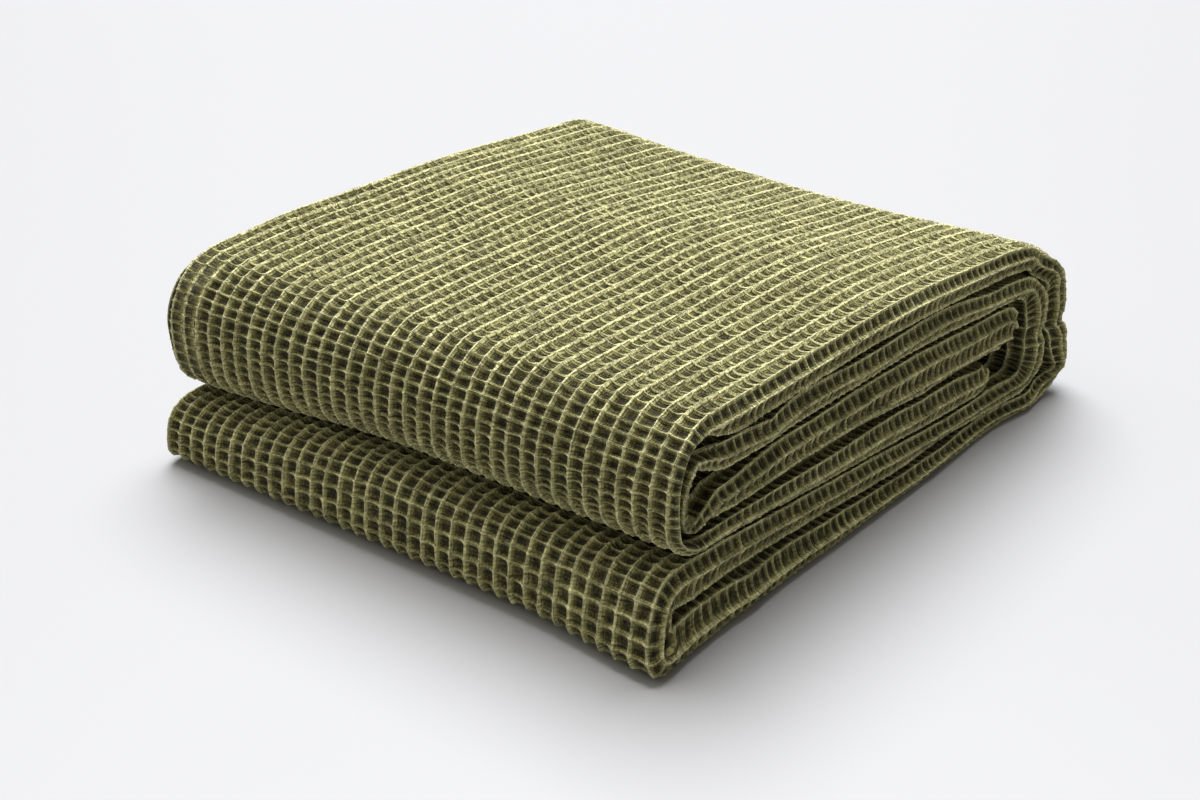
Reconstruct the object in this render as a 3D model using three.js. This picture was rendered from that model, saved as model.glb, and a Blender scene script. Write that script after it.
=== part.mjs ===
// Folded waffle-weave throw blanket, as one pad of six bands.
//
// The throw is folded in half twice along its length, so every band is four plies thick.
// The long strip that this gives is folded in half once, and the double strip is then
// folded in three, with its free ends tucked between the top and the bottom.
// Counted from the surface that it lies on, the bands are:
//   bottom_outer, bottom_inner                                  the lower leaf
//   middle_outer, middle_inner, top_inner, top_outer            the upper pack
// At the near end one fold joins the two lower bands, and two folds, one in the other,
// join the four upper bands. At the far end two wraps, one in the other, join the leaf
// to the pack. They are the spine that the throw opens about.
//
// Millimetres. X is the width, Y runs from the near end to the far end, Z is up.
// The origin is the centre of the bottom of the pad's box.

import * as THREE from 'three';

// ---- Driving dimensions ----------------------------------------------------------

const PAD_WIDTH = 352; // across the bands, one quarter of the throw's width
const PAD_LENGTH = 415; // from the near fold to the outside of the far wrap
const CLEARANCE = 0.3; // air between two pieces that touch

// Loft of each band: four plies of cloth lying loosely on each other.
const BOTTOM_OUTER_LOFT = 20;
const BOTTOM_INNER_LOFT = 19.5;
const MIDDLE_OUTER_LOFT = 18.5;
const MIDDLE_INNER_LOFT = 27;
const TOP_INNER_LOFT = 18.5;
const TOP_OUTER_LOFT = 20;

const LEAF_NEAR_WRAP = 20; // thickness of the lower leaf's fold at the near end
const PACK_NEAR_WRAP = 15; // thickness of each of the upper pack's folds, which are pulled tighter
const FAR_WRAP = 28; // thickness of each wrap at the far end, which is looser
const PACK_SETBACK = 9; // how far the upper pack's near fold stands back from the lower one
const OUTER_END_SETBACK = 28; // how much earlier the middle outer band ends than the inner one

const SIDE_HEM_WIDTH = 15; // turned and stitched hem along both long edges
const END_HEM_WIDTH = 18; // turned and stitched hem across the two free ends
const FOLD_TURN = 0.9; // share of a fold's thickness that its outer corners turn over
const ARC_STEPS = 6; // straight steps in a quarter turn

// ---- Places worked out from them -------------------------------------------------

const X_LEFT = -PAD_WIDTH / 2;
const Y_NEAR = -PAD_LENGTH / 2;
const Y_FAR = PAD_LENGTH / 2;

// Stacks the bands from the bottom up, a clearance apart.
function stackBands(lofts) {
  const places = {};
  let z = 0;
  for (const [name, loft] of lofts) {
    places[name] = { bottom: z, top: z + loft, loft };
    z += loft + CLEARANCE;
  }
  return places;
}

const LEVEL = stackBands([
  ['bottom_outer', BOTTOM_OUTER_LOFT],
  ['bottom_inner', BOTTOM_INNER_LOFT],
  ['middle_outer', MIDDLE_OUTER_LOFT],
  ['middle_inner', MIDDLE_INNER_LOFT],
  ['top_inner', TOP_INNER_LOFT],
  ['top_outer', TOP_OUTER_LOFT],
]);

// Near ends: behind one fold, or behind two folds that lie in each other.
const LEAF_START = Y_NEAR + LEAF_NEAR_WRAP + CLEARANCE;
const PACK_OUTER_START = Y_NEAR + PACK_SETBACK + PACK_NEAR_WRAP + CLEARANCE;
const PACK_INNER_START = PACK_OUTER_START + PACK_NEAR_WRAP + CLEARANCE;

// Far ends: in front of the outer wrap, in front of both wraps, or a free end.
const OUTER_STOP = Y_FAR - FAR_WRAP - CLEARANCE;
const INNER_STOP = OUTER_STOP - FAR_WRAP - CLEARANCE;
const INNER_FREE_END = INNER_STOP;
const OUTER_FREE_END = INNER_FREE_END - OUTER_END_SETBACK;

// ---- Material --------------------------------------------------------------------

const cotton = (colour) => new THREE.MeshStandardMaterial({
  color: colour, roughness: 0.95, metalness: 0,
});
const WOVEN = 0x77733f; // olive green cotton
const FOLDED = 0x6a6637; // the same cotton where it bends
const HEMMED = 0x8a8550; // three thicknesses and a row of stitches

// ---- Shape helpers ---------------------------------------------------------------

// Adds a quarter turn to the shape's outline, ending at (x, z) and leaving the corner
// point (cx, cz) outside, as a curve with the corner as its control point.
function roundTo(shape, cx, cz, x, z) {
  shape.quadraticCurveTo(cx, cz, x, z);
}

// Sweeps an outline drawn in X and Z along Y, from start to stop.
function sweepAlongY(shape, start, stop) {
  const geometry = new THREE.ExtrudeGeometry(shape, {
    depth: stop - start, bevelEnabled: false, curveSegments: ARC_STEPS,
  });
  geometry.rotateX(Math.PI / 2);
  geometry.translate(0, stop, 0);
  return geometry;
}

// Sweeps an outline drawn in Y and Z along X, over the pad's width.
function sweepAlongX(shape) {
  const geometry = new THREE.ExtrudeGeometry(shape, {
    depth: PAD_WIDTH, bevelEnabled: false, curveSegments: ARC_STEPS,
  });
  const axes = new THREE.Matrix4().makeBasis(
    new THREE.Vector3(0, 1, 0), new THREE.Vector3(0, 0, 1), new THREE.Vector3(1, 0, 0),
  );
  geometry.applyMatrix4(axes);
  geometry.translate(X_LEFT, 0, 0);
  return geometry;
}

const piece = (name, geometry, colour) => {
  const mesh = new THREE.Mesh(geometry, cotton(colour));
  mesh.name = name;
  return mesh;
};

// ---- Bands -----------------------------------------------------------------------

// Outline of a band from its end, drawn with the hems on the upper side at the left.
// Right: the rounded folds. Left: one fold in the lower half, and above it a step that
// the two side hems lie in. hemsUp false turns the outline upside down.
function bandOutline(level, hemsUp) {
  const { bottom, top, loft } = level;
  const half = loft / 2;
  const right = PAD_WIDTH / 2;
  const z = (height) => (hemsUp ? bottom + height : top - height);
  const step = X_LEFT + SIDE_HEM_WIDTH + CLEARANCE;
  const turn = half / 2;
  const outline = new THREE.Shape();
  outline.moveTo(X_LEFT + turn, z(0));
  outline.lineTo(right - half, z(0));
  roundTo(outline, right, z(0), right, z(half));
  roundTo(outline, right, z(loft), right - half, z(loft));
  outline.lineTo(step, z(loft));
  outline.lineTo(step, z(half));
  outline.lineTo(X_LEFT + turn, z(half));
  roundTo(outline, X_LEFT, z(half), X_LEFT, z(turn));
  roundTo(outline, X_LEFT, z(0), X_LEFT + turn, z(0));
  return outline;
}

// The two hems of a band: the long edges of the third and the fourth ply.
function sideHems(name, level, hemsUp, start, stop) {
  const ply = level.loft / 4;
  return ['third_ply', 'fourth_ply'].map((plyName, i) => {
    const near = level.loft / 2 + i * ply + CLEARANCE;
    const thick = ply - CLEARANCE;
    const low = hemsUp ? level.bottom + near : level.top - near - thick;
    const box = new THREE.BoxGeometry(SIDE_HEM_WIDTH, stop - start, thick);
    box.translate(X_LEFT + SIDE_HEM_WIDTH / 2, (start + stop) / 2, low + thick / 2);
    return piece(`${name}_side_hem_${plyName}`, box, HEMMED);
  });
}

function band(name, hemsUp, start, stop) {
  const level = LEVEL[name];
  return [
    piece(`${name}_band`, sweepAlongY(bandOutline(level, hemsUp), start, stop), WOVEN),
    ...sideHems(name, level, hemsUp, start, stop),
  ];
}

// The hem across a band's free end, past the end of the band itself.
function endHem(name, start, stop) {
  const { bottom, top, loft } = LEVEL[name];
  const right = PAD_WIDTH / 2;
  const outline = new THREE.Shape();
  outline.moveTo(X_LEFT, bottom);
  outline.lineTo(right - loft / 2, bottom);
  roundTo(outline, right, bottom, right, bottom + loft / 2);
  roundTo(outline, right, top, right - loft / 2, top);
  outline.lineTo(X_LEFT, top);
  return piece(`${name}_end_hem`, sweepAlongY(outline, start, stop), HEMMED);
}

// ---- Folds -----------------------------------------------------------------------

// A fold stands across the ends of the bands that it joins: flat on the side that faces
// them, with the two outer corners turned. outward is -1 at the near end, 1 at the far end.
function fold(name, outerY, depth, bottom, top, outward) {
  const innerY = outerY - outward * depth;
  const turn = FOLD_TURN * Math.min(depth, (top - bottom) / 2);
  const turnY = outerY - outward * turn;
  const outline = new THREE.Shape();
  outline.moveTo(innerY, bottom);
  outline.lineTo(turnY, bottom);
  roundTo(outline, outerY, bottom, outerY, bottom + turn);
  outline.lineTo(outerY, top - turn);
  roundTo(outline, outerY, top, turnY, top);
  outline.lineTo(innerY, top);
  return piece(name, sweepAlongX(outline), FOLDED);
}

// ---- The throw -------------------------------------------------------------------

function lowerLeaf() {
  return [
    ...band('bottom_outer', true, LEAF_START, OUTER_STOP),
    ...band('bottom_inner', false, LEAF_START, INNER_STOP),
    fold('near_lower_fold', Y_NEAR, LEAF_NEAR_WRAP,
      LEVEL.bottom_outer.bottom, LEVEL.bottom_inner.top, -1),
  ];
}

function farSpine() {
  return [
    fold('far_outer_wrap', Y_FAR, FAR_WRAP,
      LEVEL.bottom_outer.bottom, LEVEL.top_outer.top, 1),
    fold('far_inner_wrap', OUTER_STOP, FAR_WRAP,
      LEVEL.bottom_inner.bottom, LEVEL.top_inner.top, 1),
  ];
}

function upperPack() {
  const outerNose = Y_NEAR + PACK_SETBACK;
  const innerNose = outerNose + PACK_NEAR_WRAP + CLEARANCE;
  const outerHem = OUTER_FREE_END - END_HEM_WIDTH;
  const innerHem = INNER_FREE_END - END_HEM_WIDTH;
  return [
    ...band('middle_outer', true, PACK_OUTER_START, outerHem - CLEARANCE),
    endHem('middle_outer', outerHem, OUTER_FREE_END),
    ...band('middle_inner', false, PACK_INNER_START, innerHem - CLEARANCE),
    endHem('middle_inner', innerHem, INNER_FREE_END),
    ...band('top_inner', true, PACK_INNER_START, INNER_STOP),
    ...band('top_outer', false, PACK_OUTER_START, OUTER_STOP),
    fold('near_upper_outer_fold', outerNose, PACK_NEAR_WRAP,
      LEVEL.middle_outer.bottom, LEVEL.top_outer.top, -1),
    fold('near_upper_inner_fold', innerNose, PACK_NEAR_WRAP,
      LEVEL.middle_inner.bottom, LEVEL.top_inner.top, -1),
  ];
}

const throwBlanket = new THREE.Group();
for (const leaf of [lowerLeaf(), farSpine(), upperPack()]) {
  const group = new THREE.Group();
  group.add(...leaf);
  throwBlanket.add(group);
}

export default throwBlanket;
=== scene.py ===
# %% [markdown]
# # A waffle-weave throw, folded into a pad
# The throw is one sheet of cotton, about 1.4 m by 2.5 m. It is folded in half twice along
# its length, so the strip is four plies thick, then once in half, then in three.
# Blender could drop a cloth on itself, but folds this regular are laid by hand, so here
# every ply is a surface worked out with numpy along the path that the folds take.
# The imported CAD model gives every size, and the cloth replaces its plain solids.

# %% Load the frame
import math

import bpy
import numpy as np
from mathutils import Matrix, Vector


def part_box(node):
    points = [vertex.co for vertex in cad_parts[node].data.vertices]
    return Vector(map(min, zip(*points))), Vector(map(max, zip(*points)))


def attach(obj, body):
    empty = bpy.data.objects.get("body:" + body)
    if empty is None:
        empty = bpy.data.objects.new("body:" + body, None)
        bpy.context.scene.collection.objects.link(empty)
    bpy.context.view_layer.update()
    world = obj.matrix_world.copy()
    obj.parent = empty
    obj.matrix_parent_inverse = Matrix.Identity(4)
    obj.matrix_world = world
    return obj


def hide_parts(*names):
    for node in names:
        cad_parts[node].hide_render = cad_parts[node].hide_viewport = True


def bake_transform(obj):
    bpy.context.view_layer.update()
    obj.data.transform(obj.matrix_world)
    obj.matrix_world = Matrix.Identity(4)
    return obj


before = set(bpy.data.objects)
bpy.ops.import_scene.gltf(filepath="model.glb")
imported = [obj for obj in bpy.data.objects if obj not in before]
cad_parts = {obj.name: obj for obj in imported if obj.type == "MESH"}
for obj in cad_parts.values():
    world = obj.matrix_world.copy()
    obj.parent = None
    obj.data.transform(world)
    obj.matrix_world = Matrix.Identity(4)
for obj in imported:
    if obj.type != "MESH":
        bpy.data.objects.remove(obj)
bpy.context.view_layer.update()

X_AXIS, Y_AXIS, Z_AXIS = 0, 1, 2

# %% [markdown]
# ## The camera
# It comes early so that every later cell can be looked at. It looks down at the corner
# between the near folds and the rounded side folds, from a little over a metre away.
# A longish lens keeps the pad's edges nearly parallel.

# %% Camera
VIEW_AZIMUTH = math.radians(38.5)
VIEW_ELEVATION = math.radians(26.6)
VIEW_DISTANCE = 1.255
VIEW_TARGET = (-0.034, 0.009, 0.0)
LENS_MM = 61.1


def add_camera():
    """Stands back from the target along the view's azimuth and elevation."""
    back = np.array([
        math.sin(VIEW_AZIMUTH) * math.cos(VIEW_ELEVATION),
        -math.cos(VIEW_AZIMUTH) * math.cos(VIEW_ELEVATION),
        math.sin(VIEW_ELEVATION),
    ])
    camera = bpy.data.objects.new("camera", bpy.data.cameras.new("camera"))
    camera.data.lens = LENS_MM
    camera.data.sensor_width = 36
    camera.location = np.array(VIEW_TARGET) + VIEW_DISTANCE * back
    camera.rotation_euler = (math.pi / 2 - VIEW_ELEVATION, 0, VIEW_AZIMUTH)
    bpy.context.scene.collection.objects.link(camera)
    bpy.context.scene.camera = camera
    print("camera at", [round(v, 3) for v in camera.location])


add_camera()

# %% [markdown]
# ## The sizes
# The bands are the six flat layers of the pad. Their heights, and the places where the
# folds stand, are read from the CAD nodes, so the cloth fills the space they hold.
# The weave's pitch is the cloth's own: long ribs 10 mm apart, cross ribs 6.8 mm apart.

# %% Sizes read from the frame
def span(node, axis):
    """Lowest and highest value of a CAD node along one axis."""
    low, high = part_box(node)
    return low[axis], high[axis]


X_LEFT, X_RIGHT = span("bottom_outer_band", X_AXIS)
Y_NEAR = span("near_lower_fold", Y_AXIS)[0]
Y_FAR = span("far_outer_wrap", Y_AXIS)[1]
PAD_TOP = span("far_outer_wrap", Z_AXIS)[1]
PACK_NEAR = span("near_upper_outer_fold", Y_AXIS)[0]
INNER_FAR = span("far_inner_wrap", Y_AXIS)[1]
OUTER_FREE_END = span("middle_outer_end_hem", Y_AXIS)[1]
INNER_FREE_END = span("middle_inner_end_hem", Y_AXIS)[1]
BAND_NAMES = (
    "bottom_outer", "bottom_inner", "middle_outer", "middle_inner", "top_inner", "top_outer",
)
BAND_Z = {name: span(name + "_band", Z_AXIS) for name in BAND_NAMES}
LOFT = {name: high - low for name, (low, high) in BAND_Z.items()}
LONG_PITCH = 0.0100
CROSS_PITCH = 0.0068
print("lofts in mm:", {name: round(loft * 1000, 1) for name, loft in LOFT.items()})

# %% [markdown]
# ## The path of the folds
# Seen from the side, the strip of four plies runs through the pad like a belt. Two runs
# make it up. The outer run goes from the top of the leaf round its near fold, under the
# pad, round the far end, over the top and round the near end to its free end.
# The inner run lies inside it. A belt's outside is easier to place than its middle,
# because it touches its neighbours, so each path is the outside, with a thickness.

# %% Path helpers
PATH_STEP = 0.0005
PATH_SOFTENING = 0.004
STRAIGHT_POINTS = 400
TURN_POINTS = 1601


def ease(t):
    """Smooth step: 0 below 0, 1 above 1, and 3t^2 - 2t^3 between."""
    t = np.clip(t, 0.0, 1.0)
    return t * t * (3 - 2 * t)


def straight(y_start, y_end, z):
    """A level stretch."""
    y = np.linspace(y_start, y_end, STRAIGHT_POINTS)
    return np.stack([y, np.full_like(y, z)], axis=1)


def turn(y, z_start, z_end, reach, power_start, power_end):
    """Half of a rounded box. With a from -90 to 90 degrees, the reach along Y goes as
    cos(a)^(2/power) and the height as sin(a)^(2/power). Power 2 is an ellipse, and more
    is squarer."""
    a = np.linspace(-math.pi / 2, math.pi / 2, TURN_POINTS)
    power = np.where(a < 0, power_start, power_end)
    out = np.cos(a) ** (2 / power)
    up = np.sign(np.sin(a)) * np.abs(np.sin(a)) ** (2 / power)
    return np.stack([y + reach * out, z_start + (z_end - z_start) * (1 + up) / 2], axis=1)


print("a path has a point every", PATH_STEP * 1000, "mm")

# %% [markdown]
# ## From a path to a run
# A run is the path with its thickness. The strip is not equally thick everywhere: it is
# pulled thin round a tight fold and lies loose round the far end. The free end closes to
# a rounded nose, as four soft plies do when they are laid down together.

# %% Runs
END_ROUNDING = 0.017  # the free ends close over this length
END_LEFT_OPEN = 0.16
END_TUCK = 0.010  # how far the side folds draw in at a free end


def even_points(parts):
    """Joins the parts and spaces points evenly along the path. Returns the lengths, the
    points and the marks, which are the lengths at the ends of the parts."""
    points = np.concatenate(parts)
    steps = np.r_[0, np.hypot(*np.diff(points, axis=0).T)]
    length = np.cumsum(steps)
    marks = np.r_[0, length[np.cumsum([len(part) for part in parts]) - 1]]
    keep = np.r_[True, steps[1:] > 1e-9]
    s = np.arange(0, length[-1], PATH_STEP)
    return s, np.stack([np.interp(s, length[keep], c) for c in points[keep].T], axis=1), marks


def soften(even):
    """Running mean with a bell of weights. The path goes straight on past both ends."""
    reach = int(PATH_SOFTENING / PATH_STEP)
    weights = np.hanning(2 * reach + 3)[1:-1]
    weights /= weights.sum()
    ends = np.concatenate([
        even[:1] + (even[:1] - even[1:2]) * np.arange(reach, 0, -1)[:, None],
        even,
        even[-1:] + (even[-1:] - even[-2:-1]) * np.arange(1, reach + 1)[:, None],
    ])
    return np.stack([np.convolve(c, weights, "valid") for c in ends.T], axis=1)


def run_from(parts, thickness):
    """The parts as one soft path. The outward direction is the heading turned right.
    thickness lists (length from a mark, mark number, value), eased from one to the next.
    The free end closes as an ellipse: the share left is sqrt(1 - (1 - d/rounding)^2)."""
    s, even, marks = even_points(parts)
    soft = soften(even)
    heading = np.gradient(soft, axis=0)
    heading /= np.linalg.norm(heading, axis=1, keepdims=True)
    knots = np.array([[marks[mark] + offset, value] for offset, mark, value in thickness])
    place = np.clip(np.searchsorted(knots[:, 0], s) - 1, 0, len(knots) - 2)
    share = ease((s - knots[place, 0]) / (knots[place + 1, 0] - knots[place, 0]))
    thick = knots[place, 1] + (knots[place + 1, 1] - knots[place, 1]) * share
    left = np.clip((s[-1] - s) / END_ROUNDING, 0, 1)
    open_share = END_LEFT_OPEN + (1 - END_LEFT_OPEN) * np.sqrt(1 - (1 - left) ** 2)
    inward = thick * (1 - open_share) / 2
    out_y, out_z = heading[:, 1], -heading[:, 0]
    return {
        "s": s, "y": soft[:, 0] - out_y * inward, "z": soft[:, 1] - out_z * inward,
        "thick": thick * open_share, "out_y": out_y, "out_z": out_z, "marks": marks,
        "tuck": END_TUCK * (1 - open_share),
    }


print("a free end closes over", END_ROUNDING * 1000, "mm")

# %% [markdown]
# ## The two runs
# Each run is a list of straights and turns. The turns differ in how square they are: the
# foot of the leaf's fold is pressed flat, and the top of the far wrap is round.

# %% The two runs
LEAF_TURN = 0.024  # how far each fold reaches beyond its bands
PACK_TURN = 0.038
INNER_TURN = 0.012
FAR_TURN = 0.055
INNER_FAR_TURN = 0.036
INNER_NOSE_GAP = 0.011  # the inner run's near fold hugs the outer one
PULLED_THIN = 0.006  # the strip is pulled tight round the near folds
LEAF_THIN = 0.017
FAR_LOOSE = 0.027  # and lies loose round the far end
INNER_FAR_LOOSE = 0.024
INNER_END_THIN = 0.021
NEAR_LOWER_POWERS = (2.3, 3.6)  # how square each turn is, at its start and at its end
FAR_OUTER_POWERS = (3.0, 2.0)
NEAR_OUTER_POWERS = (2.1, 2.8)
FAR_INNER_POWERS = (2.6, 2.4)
NEAR_INNER_POWERS = (2.6, 2.6)


def outer_run():
    """Leaf top, leaf near fold, underside, far outer wrap, pad top, near outer fold, end."""
    high5 = BAND_Z["bottom_inner"][1]
    low4 = BAND_Z["middle_outer"][0]
    near5, near1 = Y_NEAR + LEAF_TURN, PACK_NEAR + PACK_TURN
    far = Y_FAR - FAR_TURN
    return run_from([
        straight(INNER_FAR - INNER_FAR_TURN, near5, high5),
        turn(near5, high5, 0.0, -LEAF_TURN, *NEAR_LOWER_POWERS),
        straight(near5, far, 0.0),
        turn(far, 0.0, PAD_TOP, FAR_TURN, *FAR_OUTER_POWERS),
        straight(far, near1, PAD_TOP),
        turn(near1, PAD_TOP, low4, -PACK_TURN, *NEAR_OUTER_POWERS),
        straight(near1, OUTER_FREE_END, low4),
    ], [
        (0.0, 0, LOFT["bottom_inner"]), (-0.010, 1, LOFT["bottom_inner"]),
        (0.014, 1, LEAF_THIN), (-0.014, 2, LEAF_THIN),
        (0.010, 2, LOFT["bottom_outer"]), (0.0, 3, LOFT["bottom_outer"]),
        (0.060, 3, FAR_LOOSE), (-0.050, 4, FAR_LOOSE),
        (0.010, 4, LOFT["top_outer"]), (-0.020, 5, LOFT["top_outer"]),
        (0.030, 5, PULLED_THIN), (-0.030, 6, PULLED_THIN),
        (0.014, 6, LOFT["middle_outer"]), (0.0, 7, LOFT["middle_outer"]),
    ])


def inner_run():
    """Far inner wrap, top inner band, near inner fold, middle inner band to its end."""
    low5 = BAND_Z["bottom_inner"][0]
    high2 = BAND_Z["top_inner"][1]
    low3 = BAND_Z["middle_inner"][0]
    far = INNER_FAR - INNER_FAR_TURN
    near = PACK_NEAR + INNER_NOSE_GAP + INNER_TURN
    return run_from([
        turn(far, low5, high2, INNER_FAR_TURN, *FAR_INNER_POWERS),
        straight(far, near, high2),
        turn(near, high2, low3, -INNER_TURN, *NEAR_INNER_POWERS),
        straight(near, INNER_FREE_END, low3),
    ], [
        (0.0, 0, LOFT["bottom_inner"]), (0.040, 0, INNER_FAR_LOOSE), (-0.040, 1, INNER_FAR_LOOSE),
        (0.0, 1, LOFT["top_inner"]), (-0.030, 2, LOFT["top_inner"]),
        (0.006, 2, PULLED_THIN), (-0.006, 3, PULLED_THIN),
        (0.022, 3, INNER_END_THIN), (0.080, 3, LOFT["middle_inner"]),
        (0.0, 4, LOFT["middle_inner"]),
    ])


OUTER, INNER = outer_run(), inner_run()
print("length of the strip:", round(OUTER["s"][-1] + INNER["s"][-1], 3), "m")

# %% [markdown]
# ## Smooth noise
# Hand-folded cloth is never quite regular. One small noise function, with a fixed seed
# for each use, gives the same wandering every time the script runs.

# %% Noise
NOISE_ROWS, NOISE_COLUMNS = 61, 67


def wander(seed, a, b=0.0):
    """Smooth noise from -1 to 1: random values on whole numbers, eased in between."""
    table = np.random.default_rng(seed).uniform(-1, 1, (NOISE_ROWS, NOISE_COLUMNS))
    a, b = np.broadcast_arrays(np.asarray(a, float), np.asarray(b, float))
    i, j = np.floor(a).astype(int), np.floor(b).astype(int)
    p, q = ease(a - i), ease(b - j)
    i0, i1 = i % NOISE_ROWS, (i + 1) % NOISE_ROWS
    j0, j1 = j % NOISE_COLUMNS, (j + 1) % NOISE_COLUMNS
    low = table[i0, j0] * (1 - p) + table[i1, j0] * p
    high = table[i0, j1] * (1 - p) + table[i1, j1] * p
    return low * (1 - q) + high * q


print("noise at 0, 0.5 and 1:", np.round(wander(1, [0, 0.5, 1]), 2))

# %% [markdown]
# ## How the pad has settled
# A folded throw is never a neat block. Its far end is lower, its far wraps lean in, and
# the leaf is thick at the near end, where it is least pressed, and thin at the far end.
# One smooth bending of the whole space does all this, and keeps every ply clear of the
# next, because neighbours move together. Heights come first.

# %% Settled heights
FAR_SINK = 0.115  # share of the height lost at the far end
MIDDLE_SINK = 0.042  # more of it in the middle, and less at the left corner
MIDDLE_X, MIDDLE_WIDTH = 0.02, 0.10
LEFT_SINK = -0.030
LEFT_CORNER_X, LEFT_CORNER_WIDTH = -0.08, 0.09
SINK_START, SINK_LENGTH = 0.19, 0.20
HALF_WIDTH = 0.17  # a change from the middle to a side is eased over this
NEAR_LIFT = 0.012  # how much the leaf's top rises at the near end
LEFT_LIFT_LOST = 1.05
NEAR_LIFT_LENGTH = 0.15
FAR_DROP = 0.022
FAR_DROP_START, FAR_DROP_LENGTH = -0.02, 0.33
LEAF_TOP = BAND_Z["bottom_inner"][1]
LEAF_SPREAD = 0.020
FLOOR_SPREAD = 0.010
DROOP = 0.006  # the pack's near left corner hangs by this
DROOP_LENGTH = 0.12


def height_left(x, along):
    """Share of the height that is left: less towards the far end."""
    most = FAR_SINK + MIDDLE_SINK * np.exp(-(((x - MIDDLE_X) / MIDDLE_WIDTH) ** 2))
    most = most + LEFT_SINK * ease((LEFT_CORNER_X - x) / LEFT_CORNER_WIDTH)
    return 1 - most * ease((along - SINK_START) / SINK_LENGTH)


def leaf_lift(z, along, leftness):
    """The leaf's top rises near and drops far. A bell curve round its level, faded out
    at the floor, spreads that to the plies beside it."""
    near_lift = NEAR_LIFT * (1 - LEFT_LIFT_LOST * leftness * (1 - ease(along / NEAR_LIFT_LENGTH)))
    lift = near_lift - FAR_DROP * ease((along - FAR_DROP_START) / FAR_DROP_LENGTH)
    bell = np.exp(-(((z - LEAF_TOP) / LEAF_SPREAD) ** 2) / 2) * np.tanh(z / FLOOR_SPREAD)
    return lift * bell


print("far end's height left:", round(float(height_left(0.0, Y_FAR - Y_NEAR)), 3))

# %% [markdown]
# ## The far end and the corners
# The far wraps bulge at mid height, lean in above, and have one sharp crease with softer
# crumples round it. The lowest edge is pressed flat on the floor, the folds spread at two
# corners, and the near right corner of the leaf reaches forward.

# %% Settled ends
WRAPS_START, WRAPS_EASE = 0.33, 0.08
LEAN_FOOT, LEAN_OUT, LEAN_IN = 0.004, 0.018, 0.034
CREASE_DEPTH, CREASE_LEVEL, CREASE_HEIGHT = 0.006, 0.060, 0.004
CRUMPLE_DEPTH, CRUMPLE_HEIGHT, CRUMPLE_WIDTH = 0.0028, 0.017, 0.10
PRESSED_DEPTH, PRESSED_HEIGHT = 0.005, 0.010
PRESSED_START, PRESSED_WIDTH = 0.155, 0.02
LEFT_FLARE = 0.010  # the folds spread to the left near, and to the right far
RIGHT_FLARE = 0.009
NEAR_FLARE_LENGTH = 0.25
TOE_REACH, TOE_HEIGHT, TOE_LENGTH = 0.004, 0.02, 0.05
CORNER_OUT, CORNER_FORWARD = 0.003, 0.009
CORNER_HEIGHT, CORNER_LENGTH = 0.022, 0.07
CORNER_START, CORNER_WIDTH = 0.08, 0.09


def far_reach(x, z):
    """How far the wraps reach: foot + out h - in h^2 with h the share of the height, less
    a narrow bell for the crease, and noise for the crumples."""
    height = z / PAD_TOP
    lean = LEAN_FOOT + LEAN_OUT * height - LEAN_IN * height ** 2
    crease = -CREASE_DEPTH * np.exp(-(((z - CREASE_LEVEL) / CREASE_HEIGHT) ** 2))
    crumple = CRUMPLE_DEPTH * wander(22, z / CRUMPLE_HEIGHT, x / CRUMPLE_WIDTH)
    return lean + crease + crumple


def sideways(x, z, along, leftness, far):
    """The flat pressed edge and the flare of the folds."""
    flat_edge = (PRESSED_DEPTH * np.exp(-((z / PRESSED_HEIGHT) ** 2))
                 * ease((x - PRESSED_START) / PRESSED_WIDTH))
    near = 1 - ease(along / NEAR_FLARE_LENGTH)
    flare = RIGHT_FLARE * far * ease(x / HALF_WIDTH) - LEFT_FLARE * near * leftness
    return flat_edge + flare


def settle(x, y, z):
    """Bends the space of the pad: every change above, added to each point."""
    along = y - Y_NEAR
    leftness = ease(-x / HALF_WIDTH)
    far = ease((along - WRAPS_START) / WRAPS_EASE)
    droop = DROOP * leftness * (1 - ease(along / DROOP_LENGTH)) * (z / PAD_TOP) ** 2
    toe = TOE_REACH * np.exp(-((z / TOE_HEIGHT) ** 2)) * (1 - ease(along / TOE_LENGTH))
    corner = (np.exp(-((z / CORNER_HEIGHT) ** 2)) * (1 - ease(along / CORNER_LENGTH))
              * ease((x - CORNER_START) / CORNER_WIDTH))
    return (x + sideways(x, z, along, leftness, far) + CORNER_OUT * corner,
            y + far * far_reach(x, z) - toe - CORNER_FORWARD * corner,
            z * height_left(x, along) + leaf_lift(z, along, leftness) - droop)


print("top far edge settles to", [round(float(v), 3) for v in settle(0.0, Y_FAR, PAD_TOP)])

# %% [markdown]
# ## The waffle
# A waffle weave has long ribs and cross ribs, and the cloth between them sinks into small
# square pits. Here the pits are real geometry: each vertex of a fine grid is moved
# inwards by its depth in the pit. The grid has more lines beside the ribs, where the
# cloth bends most. The same numbers are kept on the mesh for the colour, which paints
# highlight on the ribs and shade in the pits from them.

# %% Weave
PIT_DEPTH = 0.0041
LONG_STEPS = (0.0, 0.07, 0.16, 0.36, 0.64, 0.84, 0.93)  # places across one cell
CROSS_STEPS = (0.0, 0.11, 0.28, 0.72, 0.89)
CREST_SHARE = 0.54  # how much of a rib is its narrow crest
SLOPE_POWER = 1.7
LONG_CREST, CROSS_CREST = 0.19, 0.25  # widths of the crests, in half cells
CROSS_HEIGHT, CROSS_SAG = 0.90, 0.34
CROSS_UNEVEN = 0.07
FIBRE_UNEVEN = 0.06
LONG_DRIFT, CROSS_DRIFT = 0.05, 0.07  # slow wandering of the ribs, in cells
LONG_JITTER, CROSS_JITTER = 0.022, 0.032  # and quick wandering


def rib_profile(distance, crest):
    """Height at a distance d from a rib: share exp(-(d/crest)^2) + (1 - share) (1-d)^1.7."""
    return (CREST_SHARE * np.exp(-((distance / crest) ** 2))
            + (1 - CREST_SHARE) * (1 - distance) ** SLOPE_POWER)


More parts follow.
